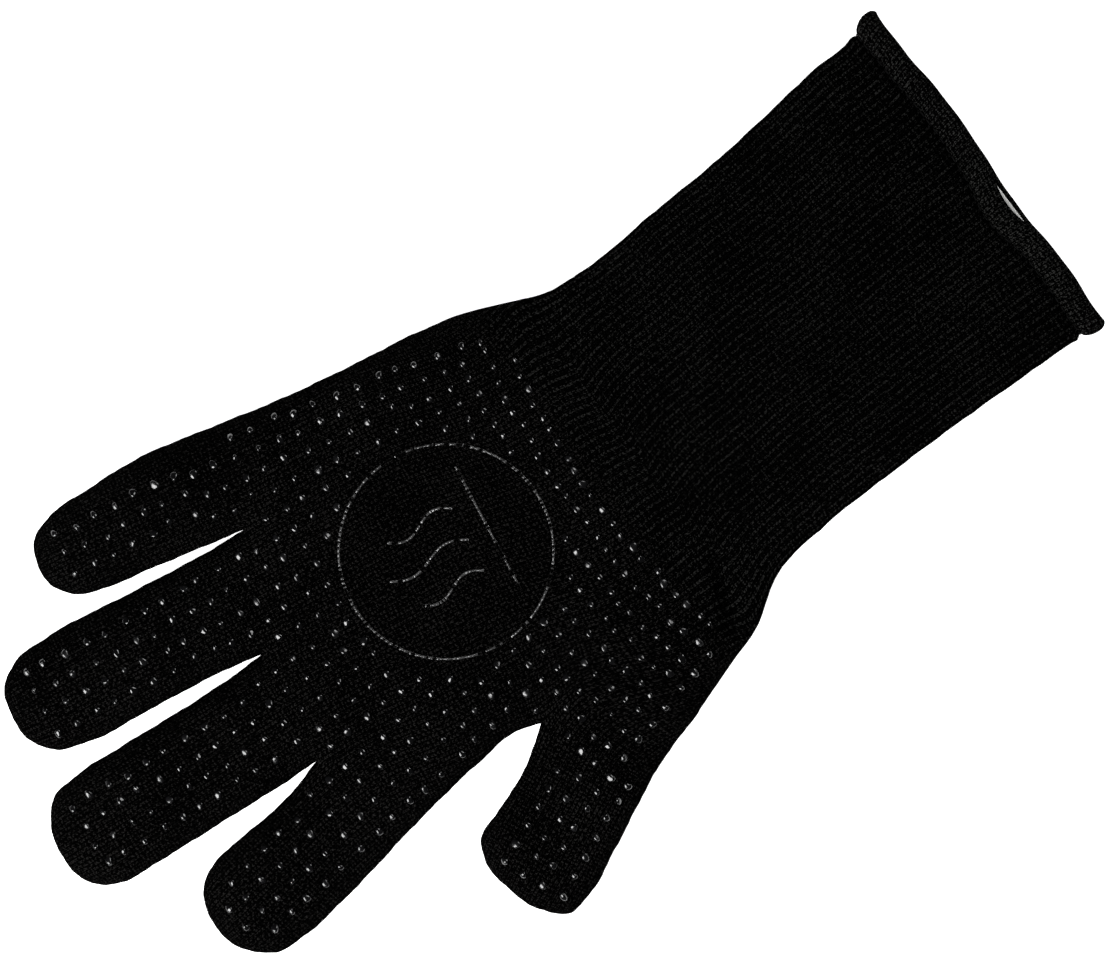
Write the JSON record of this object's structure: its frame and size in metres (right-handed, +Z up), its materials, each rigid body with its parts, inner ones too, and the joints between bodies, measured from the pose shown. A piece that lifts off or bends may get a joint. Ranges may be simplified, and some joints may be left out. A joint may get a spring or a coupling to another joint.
{
  "type": "heat resistant glove",
  "caption": "Long-cuffed knitted glove that guards a hand against heat, with raised silicone grip dots; fingers, thumb and cuff bend",
  "frame": {"origin": "under the middle of the glove as it lies flat on its back side, at the lowest level of the dots on its back", "axes": "+Z up out of the palm, +Y towards the fingertips, +X towards the little finger's side"},
  "size_m": [0.2007, 0.3657, 0.0166],
  "materials": {
    "aramid_knit": "black aramid and cotton knit, fine stitches, matt with a slight fuzz",
    "ribbed_knit": "black ribbed knit, ribs along the cuff",
    "hem_knit": "black knit hem, folded and overlocked",
    "cotton_lining": "soft charcoal cotton jersey",
    "silicone": "glossy black silicone",
    "silicone_print": "thin glossy dark silicone print",
    "thread": "black overlock thread",
    "label": "blank white woven ribbon"
  },
  "bodies": {
    "palm": {"palm_knit": "aramid_knit", "palm_lining": "cotton_lining", "palm_dots": "silicone", "back_dots": "silicone", "back_rest_dots": "silicone", "palm_emblem": "silicone_print"},
    "cuff": {"cuff_knit": "ribbed_knit", "cuff_lining": "cotton_lining", "hem_band": "hem_knit", "hem_stitching": "thread", "care_label": "label"},
    "thumb_base": {"thumb_base_knit": "aramid_knit", "thumb_base_lining": "cotton_lining", "thumb_base_dots": "silicone"},
    "thumb_tip": {"thumb_tip_knit": "aramid_knit", "thumb_tip_lining": "cotton_lining", "thumb_tip_dots": "silicone"},
    "index_base": {"index_base_knit": "aramid_knit", "index_base_lining": "cotton_lining", "index_base_dots": "silicone"},
    "index_tip": {"index_tip_knit": "aramid_knit", "index_tip_lining": "cotton_lining", "index_tip_dots": "silicone"},
    "middle_base": {"middle_base_knit": "aramid_knit", "middle_base_lining": "cotton_lining", "middle_base_dots": "silicone"},
    "middle_tip": {"middle_tip_knit": "aramid_knit", "middle_tip_lining": "cotton_lining", "middle_tip_dots": "silicone"},
    "ring_base": {"ring_base_knit": "aramid_knit", "ring_base_lining": "cotton_lining", "ring_base_dots": "silicone"},
    "ring_tip": {"ring_tip_knit": "aramid_knit", "ring_tip_lining": "cotton_lining", "ring_tip_dots": "silicone"},
    "little_base": {"little_base_knit": "aramid_knit", "little_base_lining": "cotton_lining", "little_base_dots": "silicone"},
    "little_tip": {"little_tip_knit": "aramid_knit", "little_tip_lining": "cotton_lining", "little_tip_dots": "silicone"}
  },
  "joints": [
    {"name": "wrist_fold", "type": "hinge", "parent": "palm", "child": "cuff", "pos_m": [0.013, -0.042, 0.0083], "axis": [-0.9888, -0.1495, 0], "range_deg": [-50, 60], "stiffness_Nm_per_rad": 0.2},
    {"name": "thumb_base_bend", "type": "hinge", "parent": "palm", "child": "thumb_base", "pos_m": [-0.06931, 0.02541, 0.0083], "axis": [0.829, 0.5592, 0], "range_deg": [-10, 60], "stiffness_Nm_per_rad": 0.05},
    {"name": "thumb_tip_bend", "type": "hinge", "parent": "thumb_base", "child": "thumb_tip", "pos_m": [-0.08077, 0.04241, 0.0083], "axis": [0.829, 0.5592, 0], "range_deg": [-5, 70], "stiffness_Nm_per_rad": 0.04},
    {"name": "index_base_bend", "type": "hinge", "parent": "palm", "child": "index_base", "pos_m": [-0.0465, 0.108, 0.0083], "axis": [1, 0, 0], "range_deg": [-10, 75], "stiffness_Nm_per_rad": 0.05},
    {"name": "index_tip_bend", "type": "hinge", "parent": "index_base", "child": "index_tip", "pos_m": [-0.0465, 0.13, 0.0083], "axis": [1, 0, 0], "range_deg": [-5, 85], "stiffness_Nm_per_rad": 0.04},
    {"name": "middle_base_bend", "type": "hinge", "parent": "palm", "child": "middle_base", "pos_m": [-0.007, 0.108, 0.0083], "axis": [1, 0, 0], "range_deg": [-10, 75], "stiffness_Nm_per_rad": 0.05},
    {"name": "middle_tip_bend", "type": "hinge", "parent": "middle_base", "child": "middle_tip", "pos_m": [-0.007, 0.14, 0.0083], "axis": [1, 0, 0], "range_deg": [-5, 85], "stiffness_Nm_per_rad": 0.04},
    {"name": "ring_base_bend", "type": "hinge", "parent": "palm", "child": "ring_base", "pos_m": [0.0318, 0.108, 0.0083], "axis": [1, 0, 0], "range_deg": [-10, 75], "stiffness_Nm_per_rad": 0.05},
    {"name": "ring_tip_bend", "type": "hinge", "parent": "ring_base", "child": "ring_tip", "pos_m": [0.0318, 0.138, 0.0083], "axis": [1, 0, 0], "range_deg": [-5, 85], "stiffness_Nm_per_rad": 0.04},
    {"name": "little_base_bend", "type": "hinge", "parent": "palm", "child": "little_base", "pos_m": [0.0685, 0.094, 0.0083], "axis": [1, 0, 0], "range_deg": [-10, 75], "stiffness_Nm_per_rad": 0.05},
    {"name": "little_tip_bend", "type": "hinge", "parent": "little_base", "child": "little_tip", "pos_m": [0.0685, 0.117, 0.0083], "axis": [1, 0, 0], "range_deg": [-5, 85], "stiffness_Nm_per_rad": 0.04}
  ]
}
